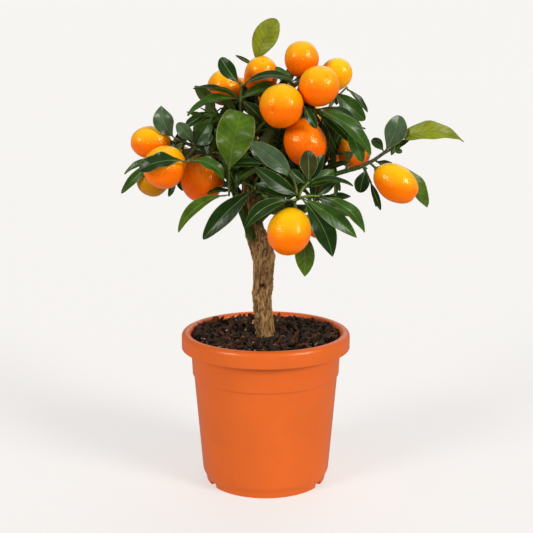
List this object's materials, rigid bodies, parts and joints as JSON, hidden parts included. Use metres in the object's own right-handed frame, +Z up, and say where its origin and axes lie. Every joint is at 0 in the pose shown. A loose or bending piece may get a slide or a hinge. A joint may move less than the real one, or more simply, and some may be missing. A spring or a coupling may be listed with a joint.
{
  "type": "potted kumquat bonsai",
  "caption": "Small bonsai citrus tree with a short bent trunk, glossy leaves and oval orange fruit, standing in a round tapered plastic pot with a rolled rim.",
  "frame": {"origin": "centre of the pot's flat underside, which rests on the table", "axes": "+Z up along the pot's axis; the front of the plant faces -Y"},
  "size_m": [0.277, 0.1695, 0.3827],
  "materials": {
    "pot": "satin",
    "soil": "rough",
    "bark": "rough",
    "foliage": "glossy"
  },
  "bodies": {
    "root": {"pot": "pot", "soil": "soil", "trunk": "bark", "bough_left": "bark", "bough_right": "bark", "bough_front": "bark", "bough_top_left": "bark", "bough_top_right": "bark", "bough_back_left": "bark", "bough_back_right": "bark", "mass_left_end": "foliage", "mass_left_low": "foliage", "mass_left_mid": "foliage", "mass_inner_left": "foliage", "mass_top_left": "foliage", "mass_crest": "foliage", "mass_top_right": "foliage", "mass_core": "foliage", "mass_upper_right": "foliage", "mass_right_arm": "foliage", "mass_front_low": "foliage", "mass_low_back": "foliage", "mass_inner_right": "foliage", "mass_back_left": "foliage", "mass_back_right": "foliage", "mass_back_top": "foliage", "mass_back_mid": "foliage", "mass_back_low": "foliage"}
  },
  "joints": []
}
